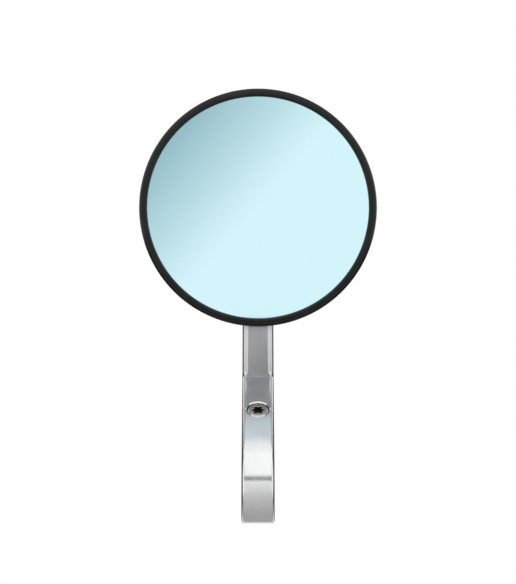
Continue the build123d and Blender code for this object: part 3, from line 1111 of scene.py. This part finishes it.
@dataclass
class PinchScrew(SubAssembly):
    """The cap screw that closes the ring, with a six-lobe socket and a cut thread.

    The thread's foot and crest are half widths, as shares of its pitch. The lobes' wave, the socket's flare
    and the reach of the painted socket shade are shares of the socket's radius.
    """

    arm: ClampArm
    body: str = "arm"
    head_radius: float = 3.68 * MM
    head_height: float = 4.4 * MM
    head_edge: float = 0.5 * MM
    head_corner: float = 0.125 * MM
    length: float = 18.0 * MM
    core_radius: float = 1.56 * MM
    crest_radius: float = 1.97 * MM
    pitch: float = 0.7 * MM
    thread_root: float = 0.1 * MM
    thread_foot: float = 0.44
    thread_crest: float = 0.06
    thread_steps: int = 48
    tip: float = 0.6 * MM
    lobes: int = 6
    lobe_middle: float = 1.82 * MM
    lobe_wave: float = 0.17
    socket_depth: float = 2.0 * MM
    socket_mouth: float = 0.12 * MM
    socket_flare: float = 1.14
    socket_steps: int = 96
    flats: int = 96
    # How far out from the axis the socket's painted shade reaches.
    shade_reach: float = 1.2
    light: Colour = (0.88, 0.86, 0.82, 1)
    dark: Colour = (0.6, 0.58, 0.56, 1)

    def __post_init__(self) -> None:
        """Finds the seat of the screw's head in the arm."""
        self.axis = self.arm.pinch_axis
        seat = self.arm.pinch_face - self.axis * self.arm.counterbore_depth
        self.profile = Sheet(seat, ALONG_BAR, self.axis)
        self.top = Sheet(seat, ALONG_BAR, self.axis.cross(ALONG_BAR)).raised(self.head_height)

    def blank(self) -> Shape:
        """Turns the head and the core.

        Returns:
            The blank of the screw.
        """
        crown = (self.head_radius - self.head_edge, self.head_height)
        shoulder = (self.head_radius, self.head_height - self.head_edge)
        seat = (self.head_radius, 0)
        outline = Outline(self.profile, (0, self.head_height), crown, shoulder, seat, (self.core_radius, 0))
        outline.line(
            (self.core_radius, -self.length + self.tip),
            (self.core_radius - self.tip, -self.length),
            (0, -self.length),
        )
        outline.round(self.head_corner, crown, shoulder, seat)
        return Shape.turned(outline, self.flats)

    def thread(self) -> Shape:
        """Winds the thread's ridge round the core.

        Returns:
            The ridge.
        """
        inner = self.core_radius - self.thread_root
        start = -self.length + self.tip + self.pitch
        turns = int(-start / self.pitch) - 1
        foot = self.thread_foot * self.pitch
        crest = self.thread_crest * self.pitch
        outline = Outline(
            self.profile,
            (inner, start - foot),
            (self.crest_radius, start - crest),
            (self.crest_radius, start + crest),
            (inner, start + foot),
        )
        mesh = outline.close().mesh
        bmesh.ops.spin(
            mesh,
            geom=mesh.verts[:] + mesh.edges[:],
            cent=self.profile.origin,
            axis=self.axis,
            dvec=self.axis * (self.pitch / self.thread_steps),
            angle=turns * FULL_TURN,
            steps=turns * self.thread_steps,
        )
        bmesh.ops.holes_fill(mesh, edges=mesh.edges[:], sides=4)
        return Shape(mesh).tidied()

    def socket_tool(self) -> Shape:
        """Draws the six-lobe socket up to a small lead-in.

        Returns:
            The tool that cuts it.
        """
        mesh = bmesh.new()
        bmesh.ops.create_circle(mesh, cap_ends=True, segments=self.socket_steps, radius=self.lobe_middle)
        for vert in mesh.verts:
            vert.co *= 1 + self.lobe_wave * cos(self.lobes * atan2(vert.co.y, vert.co.x))
        bmesh.ops.transform(mesh, matrix=self.top.raised(-self.socket_depth).matrix, verts=mesh.verts[:])
        straight = self.socket_depth - self.socket_mouth
        for rise, widen in ((straight, 1.0), (2 * self.socket_mouth, self.socket_flare)):
            moved = drawn_out(mesh, self.top_cap(mesh), self.axis * rise)
            middle = sum((vert.co for vert in moved), Vector()) / len(moved)
            spread = Matrix.Translation(middle) @ Matrix.Scale(widen, 4) @ Matrix.Translation(-middle)
            bmesh.ops.transform(mesh, matrix=spread, verts=moved)
        return Shape(mesh).tidied()

    def top_cap(self, mesh: bmesh.types.BMesh) -> list[Part]:
        """The face of a socket tool that lies highest along the screw's axis, with its edges."""
        cap = max(mesh.faces, key=lambda face: face.calc_center_median().dot(self.axis))
        return [cap, *cap.edges]

    def build(self) -> None:
        """Models the screw."""
        screw = self.blank().carved(self.thread(), Carving.JOIN).carved(self.socket_tool(), Carving.CUT)
        self.screw = self.settle(screw.piece("pinch_screw"), "clamp_screw", "stainless_steel")

    def dress(self) -> None:
        """Gives the screw turned steel about its own axis, with painted shade in its socket and a blotchy
        dark film round it.
        """
        finish = ShadedSocketSteel(
            "stainless_steel",
            self.light,
            self.dark,
            centre=tuple(self.profile.origin),
            lean=pi / 2 - self.arm.tilt,
            # The socket's painted shade reaches this far from the screw's axis.
            socket_radius=self.lobe_middle * self.shade_reach,
            socket_floor=self.head_height - self.socket_depth,
            socket_rim=self.head_height,
        )
        self.coat(self.screw, finish)


@dataclass
class BallStud(SubAssembly):
    """The ball with its neck, hexagon and shank, and the washer and domed nut that hold it in the eye."""

    body: str = "arm"
    ball_radius: float = 6.0 * MM
    neck_radius: float = 2.75 * MM
    shank_radius: float = 2.5 * MM
    shank_chamfer: float = 0.5 * MM
    ball_reach: float = 21.7 * MM
    flange_thickness: float = 1.6 * MM
    hex_width: float = 8.0 * MM
    hex_chamfer: float = 0.55 * MM
    hex_sides: int = 6
    washer_hole: float = 2.6 * MM
    washer_ease: float = 0.18 * MM
    nut_hex_height: float = 4.0 * MM
    nut_dome_radius: float = 3.7 * MM
    nut_bore_depth: float = 7.2 * MM
    flats: int = 96

    def __post_init__(self) -> None:
        """Takes the places behind the eye from the frame."""
        self.stud_end = depths("ball_stud")[1]
        self.washer = depths("stud_washer")
        self.washer_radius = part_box("stud_washer")[1].x
        self.nut = depths("stud_nut")

    def hex_block(self, front: float, back: float) -> Shape:
        """A hexagon with its corners turned down at both ends.

        Args:
            front: Where it starts, behind the ball's centre.
            back: Where it ends.

        Returns:
            The block.
        """
        middle = BALL_CENTRE + AWAY * (front + back) / 2
        corner = self.hex_width / sqrt(3)
        corners = [polar(corner, FULL_TURN * place / self.hex_sides) for place in range(self.hex_sides)]
        hexagon = Outline(Sheet(middle, ALONG_BAR, UP), *corners).close()
        land = self.hex_width / 2 - self.hex_chamfer / 2
        wide = land + 2 * self.hex_chamfer
        limit = Outline(
            BALL_AXIS,
            (0, front),
            (land, front),
            (wide, front + self.hex_chamfer),
            (wide, back - self.hex_chamfer),
            (land, back),
            (0, back),
        )
        return Shape.prism(hexagon, back - front).carved(Shape.turned(limit, self.flats), Carving.KEEP)

    def stud_shape(self) -> Shape:
        """Turns the ball, neck and shank, and sets the hexagon round them.

        Returns:
            The stud.
        """
        neck_start = sqrt(self.ball_radius**2 - self.neck_radius**2)
        neck_end = self.ball_reach - self.flange_thickness / 2
        outline = Outline(BALL_AXIS, (0, -self.ball_radius))
        outline.arc((0, 0), pi / 2 + atan2(neck_start, self.neck_radius))
        outline.line(
            (self.neck_radius, neck_end),
            (self.shank_radius, neck_end),
            (self.shank_radius, self.stud_end - self.shank_chamfer),
            (self.shank_radius - self.shank_chamfer, self.stud_end),
            (0, self.stud_end),
        )
        flange = self.hex_block(self.ball_reach - self.flange_thickness, self.ball_reach)
        return Shape.turned(outline, self.flats).carved(flange, Carving.JOIN)

    def washer_shape(self) -> Shape:
        """Turns a flat washer with eased edges.

        Returns:
            The washer.
        """
        front, back = self.washer
        hole, rim = self.washer_hole, self.washer_radius
        corners = [(hole, front), (rim, front), (rim, back), (hole, back)]
        outline = Outline(BALL_AXIS, *corners).close()
        return Shape.turned(outline.round(self.washer_ease, *corners), self.flats)

    def nut_shape(self) -> Shape:
        """Turns the domed nut, hollow where the shank goes in.

        Returns:
            The nut.
        """
        front, back = self.nut
        dome_foot = front + self.hex_chamfer
        dome_start = back - self.nut_dome_radius
        dome = Outline(BALL_AXIS, (0, dome_foot), (self.nut_dome_radius, dome_foot))
        dome.line((self.nut_dome_radius, dome_start)).arc((0, dome_start), pi / 2)
        bore_ends = (front - self.hex_chamfer, front + self.nut_bore_depth)
        bore = Shape.pin(BALL_AXIS, self.shank_radius, bore_ends, self.flats)
        nut = self.hex_block(front, front + self.nut_hex_height)
        return nut.carved(Shape.turned(dome, self.flats), Carving.JOIN).carved(bore, Carving.CUT)

    def build(self) -> None:
        """Models the stud, the washer and the nut."""
        made = (
            (self.stud_shape().piece("ball_and_stud"), "ball_stud"),
            (self.washer_shape().piece("eye_washer"), "stud_washer"),
            (self.nut_shape().piece("domed_nut"), "stud_nut"),
        )
        self.pieces = [self.settle(piece, node, "stainless_steel") for piece, node in made]

    def dress(self) -> None:
        """Gives all three turned steel."""
        for piece in self.pieces:
            self.coat(piece, TurnedSteel("stainless_steel"))


@dataclass
class MirrorHead(SubAssembly):
    """The dished housing, the glass and the rolled bezel round it."""

    body: str = "head"
    bezel_skirt: float = 1.3 * MM
    bezel_fit: float = 0.1 * MM
    bezel_width: float = 2.73 * MM
    bezel_inner_roll: float = 0.9 * MM
    bezel_bead: float = 1.25 * MM
    bezel_ease: float = 0.2 * MM
    snap_height: float = 0.25 * MM
    snap_length: float = 0.8 * MM
    glass_edge: float = 0.3 * MM
    spigot_height: float = 3.0 * MM
    seat_ring: float = 2.2 * MM
    wall: float = 2.0 * MM
    dome_drop: float = 9.0 * MM
    dome_round: float = 2.2 * MM
    boss_radius: float = 9.48 * MM
    boss_height: float = 1.6 * MM
    boss_round: float = 0.6 * MM
    boss_blend: float = 1.2 * MM
    socket_radius: float = 7.3 * MM
    socket_angle: float = radians(47.5)
    socket_flare: float = 0.9 * MM
    socket_depth: float = 0.5 * MM
    hub_bore: float = 9.05 * MM
    hub_wall: float = 2.15 * MM
    ribs: int = 6
    rib_thickness: float = 1.5 * MM
    rib_height: float = 3.0 * MM
    screws: int = 3
    screw_angle: float = radians(30)
    screw_circle: float = 13.3 * MM
    screw_boss: float = 2.7 * MM
    screw_hole: float = 1.27 * MM
    screw_depth: float = 5.8 * MM
    screw_steps: int = 32

    def __post_init__(self) -> None:
        """Takes the head's places from the frame, as distances behind the ball's centre."""
        self.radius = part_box("bezel")[1].x
        self.crest, self.skirt_foot = depths("bezel")
        self.glass_front, self.glass_back = depths("mirror_glass")
        self.glass_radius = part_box("mirror_glass")[1].x
        self.seat_front, self.boss_face = depths("mirror_housing")
        self.hub_front = depths("retainer_plate")[1]
        self.skirt_inner = self.radius - self.bezel_skirt
        self.spigot = self.skirt_inner - self.bezel_fit
        self.spigot_inner = self.spigot - self.seat_ring
        self.shoulder = self.seat_front + self.spigot_height
        self.snap = (self.seat_front + self.shoulder) / 2
        self.dome_apex = self.boss_face - self.boss_height
        self.dome_curve = (self.radius**2 + self.dome_drop**2) / (2 * self.dome_drop)
        self.dome_centre = (0, self.dome_apex - self.dome_curve)
        self.hub_radius = self.hub_bore + self.hub_wall

    def dome(self, r: float, depth: float = 0.0) -> Place:
        """The place at r on the dome, or at a depth inside its wall."""
        return (r, self.dome_apex - self.dome_curve + sqrt((self.dome_curve - depth) ** 2 - r**2))

    def dome_turn(self, start: float, end: float, depth: float = 0.0) -> float:
        """The angle about the dome's centre from one radius to another."""
        return asin(start / (self.dome_curve - depth)) - asin(end / (self.dome_curve - depth))

    def bezel_shape(self) -> Shape:
        """Turns the rolled rim with its skirt and the ridge that snaps into the housing.

        Returns:
            The bezel.
        """
        lip_back = self.crest + self.bezel_bead
        outer_roll = self.bezel_width - self.bezel_inner_roll
        crest_r = self.radius - outer_roll
        lip_inner = self.radius - self.bezel_width
        outline = Outline(BALL_AXIS, (self.skirt_inner, self.skirt_foot), (self.radius, self.skirt_foot))
        outline.line((self.radius, self.crest + outer_roll))
        outline.arc((crest_r, self.crest + outer_roll), -pi / 2)
        outline.arc((crest_r, self.crest + self.bezel_inner_roll), -pi / 2)
        outline.line(
            (lip_inner, lip_back),
            (self.skirt_inner, lip_back),
            (self.skirt_inner, self.snap - self.snap_length / 2),
            (self.skirt_inner - self.snap_height, self.snap),
            (self.skirt_inner, self.snap + self.snap_length / 2),
        )
        outline.close().round(self.bezel_ease, (self.radius, self.skirt_foot), (lip_inner, lip_back))
        return Shape.turned(outline)

    def glass_shape(self) -> Shape:
        """Turns the flat glass with its ground edges.

        Returns:
            The glass.
        """
        face_radius = self.glass_radius - self.glass_edge
        outline = Outline(
            BALL_AXIS,
            (0, self.glass_front),
            (face_radius, self.glass_front),
            (self.glass_radius, self.glass_front + self.glass_edge),
            (self.glass_radius, self.glass_back - self.glass_edge),
            (face_radius, self.glass_back),
            (0, self.glass_back),
        )
        return Shape.turned(outline)

    def shell_shape(self) -> Shape:
        """Turns the dished shell with its boss, ball socket, hub and spigot.

        Returns:
            The shell.
        """
        opening = (self.socket_radius * sin(self.socket_angle), self.socket_radius * cos(self.socket_angle))
        socket_rim = sqrt(self.socket_radius**2 - self.socket_depth**2)
        socket_turn = pi / 2 - self.socket_angle + asin(self.socket_depth / self.socket_radius)
        corner = self.dome(self.radius)
        blend = self.dome(self.boss_radius + self.boss_blend, -self.boss_blend)
        blend_share = blend[0] / (self.dome_curve + self.boss_blend)
        outline = Outline(
            BALL_AXIS,
            opening,
            (opening[0] + self.socket_flare, self.boss_face),
            (self.boss_radius, self.boss_face),
            (self.boss_radius, blend[1]),
        )
        outline.arc(blend, acos(blend_share))
        dome_turn = self.dome_turn(blend_share * self.dome_curve, self.radius - self.dome_round)
        outline.arc(self.dome_centre, dome_turn)
        outline.line(
            corner,
            (self.radius, self.shoulder),
            (self.spigot, self.shoulder),
            (self.spigot, self.snap + self.snap_length / 2),
            (self.spigot - self.snap_height, self.snap),
            (self.spigot, self.snap - self.snap_length / 2),
            (self.spigot, self.seat_front),
            (self.spigot_inner, self.seat_front),
            self.dome(self.spigot_inner, self.wall),
        )
        outline.arc(self.dome_centre, self.dome_turn(self.spigot_inner, self.hub_radius, self.wall))
        outline.line(
            (self.hub_radius, self.hub_front),
            (self.hub_bore, self.hub_front),
            (self.hub_bore, -self.socket_depth),
            (socket_rim, -self.socket_depth),
        )
        outline.arc((0, 0), socket_turn)
        outline.close().round(self.boss_round, (self.boss_radius, self.boss_face))
        outline.round(self.dome_round, corner)
        return Shape.turned(outline)

    def rib_shapes(self) -> Shape:
        """Draws the ribs from the hub to the rim.

        Returns:
            The ribs.
        """
        root = self.hub_bore + self.hub_wall / 2
        tip = self.spigot_inner + self.seat_ring / 2
        crest = self.wall + self.rib_height
        ribs = Shape(bmesh.new())
        for place in range(self.ribs):
            bearing = FULL_TURN * place / self.ribs
            outwards = ALONG_BAR * cos(bearing) + UP * sin(bearing)
            outline = Outline(Sheet(BALL_CENTRE, outwards, AWAY), self.dome(root, self.wall / 2))
            outline.arc(self.dome_centre, self.dome_turn(root, tip, self.wall / 2))
            outline.line(self.dome(tip, crest), self.dome(root, crest))
            ribs.added(Shape.prism(outline.close(), self.rib_thickness))
        return ribs

    def posts(self, radius: float, front: float, back: float) -> Shape:
        """Round posts at the retainer screws' places.

        Args:
            radius: The posts' radius.
            front: Where they start, behind the ball's centre.
            back: Where they end.

        Returns:
            The posts.
        """
        group = Shape(bmesh.new())
        for place in range(self.screws):
            across, rise = polar(self.screw_circle, self.screw_angle + FULL_TURN * place / self.screws)
            foot = BALL_CENTRE + ALONG_BAR * across + UP * rise
            group.added(Shape.pin(Sheet(foot, ALONG_BAR, AWAY), radius, (front, back), self.screw_steps))
        return group

    def housing_shape(self) -> Shape:
        """Joins shell, ribs and tapped screw bosses.

        Returns:
            The whole housing.
        """
        boss_back = self.dome(self.screw_circle, self.wall / 2)[1]
        bosses = self.posts(self.screw_boss, self.hub_front, boss_back)
        holes = self.posts(self.screw_hole, self.hub_front - self.wall, self.hub_front + self.screw_depth)
        housing = self.shell_shape().carved(self.rib_shapes(), Carving.JOIN)
        return housing.carved(bosses, Carving.JOIN).carved(holes, Carving.CUT)

    def build(self) -> None:
        """Models the housing, the glass and the bezel."""
        housing = self.housing_shape().piece("dished_housing")
        self.housing = self.settle(housing, "mirror_housing", "black_anodised")
        self.glass = self.settle(self.glass_shape().piece("blue_glass"), "mirror_glass", "tinted_mirror")
        self.bezel = self.settle(self.bezel_shape().piece("rolled_bezel"), "bezel", "black_anodised")

    def dress(self) -> None:
        """Gives the head its black and its tinted mirror."""
        for piece in (self.housing, self.bezel):
            self.coat(piece, BlackAnodised("black_anodised"))
        self.coat(self.glass, TintedMirror("tinted_mirror"))


@dataclass
class BallJoint(SubAssembly):
    """The pieces inside the head, which keep their own meshes."""

    nylon: tuple[str, ...] = ("rear_ball_seat", "front_ball_seat", "pressure_cup")
    steel: tuple[str, ...] = ("disc_spring", "retainer_plate", "retainer_screws")
    rubber: tuple[str, ...] = ("glass_gasket",)

    def build(self) -> None:
        """Sorts the pieces by their finish."""
        self.groups = (
            (NaturalNylon("seat_nylon"), self.nylon),
            (TurnedSteel("stainless_steel"), self.steel),
            (GasketRubber("gasket_rubber"), self.rubber),
        )

    def dress(self) -> None:
        """Gives each piece its finish."""
        for finish, names in self.groups:
            material = finish.material()
            for name in names:
                frame["nodes"][name].material_slots[0].material = material
                log.info("%s keeps its mesh in %s", name, finish.slot)


def grey(tone: float) -> Colour:
    """An even grey: 0 is black and 1 is white."""
    return (tone, tone, tone, 1)


@dataclass(frozen=True)
class Fade:
    """The tone that a card fades into: on which bearing, from where and to where."""

    tone: Colour
    bearing: float
    start: float
    end: float


@dataclass(frozen=True)
class Card:
    """A plain card beside the object, which its metal and glass reflect."""

    name: str
    sheet: Sheet
    width: float
    height: float
    tone: Colour
    fade: Fade | None = None
    back_tone: Colour | None = None

    def build(self) -> None:
        """Stands the card up where only reflections show it."""
        x, y = self.width / 2, self.height / 2
        mesh = Outline(self.sheet, (-x, -y), (x, -y), (x, y), (-x, y)).close().mesh
        faces = bmesh.ops.contextual_create(mesh, geom=mesh.edges[:])["faces"]
        faces[0].normal_update()
        if faces[0].normal.dot(self.sheet.normal) < 0:
            bmesh.ops.reverse_faces(mesh, faces=faces)
        card = Shape(mesh).loose_object(self.name)
        material = bpy.data.materials.new(self.name)
        recipe = Recipe(material)
        recipe.finish(recipe.node("ShaderNodeEmission", None, {"Color": self.colour(recipe)}))
        card.data.materials.append(material)
        card.visible_camera = False
        card.visible_diffuse = False
        card.visible_shadow = False

    def colour(self, recipe: Recipe) -> Signal | Colour:
        """The card's colour: even, fading along a slant, or another one on its back.

        Args:
            recipe: The card's recipe.

        Returns:
            The colour.
        """
        if self.back_tone is not None:
            behind = recipe.node("ShaderNodeNewGeometry", output="Backfacing")
            return recipe.mix(behind, self.tone, self.back_tone)
        if self.fade is None:
            return self.tone
        slant = self.sheet.across * cos(self.fade.bearing) + self.sheet.up * sin(self.fade.bearing)
        inputs = {0: recipe.node("ShaderNodeTexCoord", output="Object"), 1: slant}
        reach = recipe.node("ShaderNodeVectorMath", {"operation": "DOT_PRODUCT"}, inputs, "Value")
        origin = self.sheet.origin.dot(slant)
        inputs = {"Value": reach, "From Min": origin + self.fade.start, "From Max": origin + self.fade.end}
        share = recipe.node("ShaderNodeMapRange", None, inputs)
        return recipe.mix(share, self.tone, self.fade.tone)


@dataclass
class Studio:
    """The floor, the cards, the soft light and the camera.

    The pixel is the width that one pixel of the photograph covers at the aim.
    """

    image_height: int = 584
    pixel: float = 0.3358 * MM
    aim: Vector = field(default_factory=lambda: Vector((0, -15.1, 63.6)) * MM)
    distance: float = 1.25
    clip: Range = (0.01, 20)
    floor_height: float = -0.12
    floor_radius: float = 0.4
    floor_fade: float = 0.12
    floor_steps: int = 96
    floor_tone: Colour = grey(0.82)
    ambient: float = 0.55
    key_energy: float = 6.0
    key_size: float = 0.7
    key_place: Size = (0, -0.15, 0.9)

    def camera(self) -> None:
        """Puts the camera level in front of the mirror, as in the photograph."""
        data = bpy.data.cameras.new("camera")
        half_image = self.image_height / 2 * self.pixel
        data.lens = data.sensor_width / 2 * self.distance / half_image
        data.clip_start, data.clip_end = self.clip
        made = in_scene("camera", data)
        made.location = self.aim - AWAY * self.distance
        made.rotation_euler = (pi / 2, 0, 0)
        bpy.context.scene.camera = made

    def floor(self) -> None:
        """Lays a pale round floor below the mirror, which fades out at its edge."""
        mesh = bmesh.new()
        bmesh.ops.create_circle(mesh, cap_ends=True, segments=self.floor_steps, radius=self.floor_radius)
        bmesh.ops.translate(mesh, verts=mesh.verts[:], vec=UP * self.floor_height)
        floor = Shape(mesh).loose_object("floor")
        material = bpy.data.materials.new("floor")
        recipe = Recipe(material)
        reach = recipe.reach(recipe.place(UP * self.floor_height))
        share = recipe.step(reach, self.floor_fade, self.floor_radius)
        pale = recipe.node("ShaderNodeBsdfDiffuse", None, {"Color": self.floor_tone})
        recipe.finish(recipe.blend(share, pale, recipe.node("ShaderNodeBsdfTransparent")))
        floor.data.materials.append(material)

    def world(self) -> None:
        """Surrounds the mirror with white, and lights it softly from all round."""
        world = bpy.data.worlds.new("studio")
        recipe = Recipe(world)
        kinds = ("Camera", "Glossy", "Transmission")
        rays = [recipe.node("ShaderNodeLightPath", output=f"Is {kind} Ray") for kind in kinds]
        share = recipe.math("MINIMUM", rays[0] + rays[1] + rays[2], 1.0)
        soft, white = (
            recipe.node("ShaderNodeBackground", None, {"Color": grey(1), "Strength": strength})
            for strength in (self.ambient, 1.0)
        )
        recipe.finish(recipe.blend(share, soft, white))
        bpy.context.scene.world = world

    def lamps(self) -> None:
        """Hangs one large softbox above the mirror."""
        data = bpy.data.lights.new("softbox", "AREA")
        data.size = self.key_size
        data.energy = self.key_energy
        made = in_scene("softbox", data)
        made.location = self.key_place
        made.visible_glossy = False

    def cards(self) -> list[Card]:
        """Places the cards that the metal and the glass reflect, with their widths, heights and tones.

        Returns:
            The cards.
        """
        glass_view = upright(0, self.aim.y - self.distance, 2 * BALL_CENTRE.z - self.aim.z)
        glass_fade = Fade((0.45, 0.55, 0.58, 1), radians(139), 0.0016, 0.0745)
        front_fade = Fade(grey(0.03), pi / 2, -0.0237, 0.025)
        near_fade = Fade(grey(0.1), pi / 2, -0.0134, 0.0134)
        low_fade = Fade(grey(0.73), -pi / 2, -0.395, -0.105)
        over_ring = Sheet(Vector((0, -0.0095, 0.03)), AWAY, ALONG_BAR)
        cards = [
            Card("fade_card", glass_view, 0.4, 0.16, grey(1), glass_fade),
            Card("front_flag", upright(0, -0.3, 0.0237), 0.22, 0.0575, grey(0.17), front_fade),
            Card("near_flag", upright(0, -0.15, 0.0106), 0.24, 0.0268, grey(0.2), near_fade),
            Card("foot_flag", upright(0, -0.299, 0.0115), 0.5, 0.033, grey(0.15)),
            Card("gap_flag", level(0, 0.0015, 0.15), 0.044, 0.018, grey(0.12)),
            Card("head_card", level(0, 0.005, 0.0517), 0.036, 0.013, (0.57, 0.65, 0.7, 1)),
            Card("ring_card", over_ring, 0.0126, 0.03, grey(0.92), back_tone=grey(0.04)),
            Card("rise_card", level(0, 0.016, 0.0517), 0.036, 0.009, (0.24, 0.25, 0.26, 1)),
            Card("sky_card", level(0, 0.515, 0.7), 0.3, 0.8, (1.15, 1.28, 1.36, 1)),
            Card("low_card", level(0, -0.375, -0.11), 0.3, 1.05, grey(0.37), low_fade),
        ]
        for side in (-1, 1):
            beside = Sheet(Vector((side * 0.07, 0.0475, 0.0085)), AWAY, UP)
            cards += [
                Card(f"side_flag_{side}", beside, 0.145, 0.127, grey(0.09)),
                Card(f"back_flag_{side}", upright(side * 0.039, 0.12, 0.0085), 0.062, 0.127, grey(0.09)),
                Card(f"grey_card_{side}", upright(side * 0.33, -0.3, 0.05), 0.48, 0.5, grey(0.86)),
                Card(f"dim_sky_{side}", level(side * 0.425, 0.515, 0.7), 0.55, 0.8, (0.4, 0.42, 0.44, 1)),
            ]
        return cards

    def build(self) -> None:
        """Sets up the whole studio."""
        self.camera()
        self.floor()
        self.world()
        self.lamps()
        for card in self.cards():
            card.build()
        bpy.context.scene.view_settings.view_transform = "Standard"
        log.info("studio and camera are set")


def main() -> None:
    """Builds the mirror's sub-assemblies and the studio round them."""
    logging.basicConfig(level=logging.INFO, format="%(message)s")
    arm = ClampArm()
    for assembly in (arm, PinchScrew(arm), BallStud(), MirrorHead(), BallJoint()):
        assembly.build()
        assembly.dress()
    Studio().build()


if __name__ == "__main__":
    main()
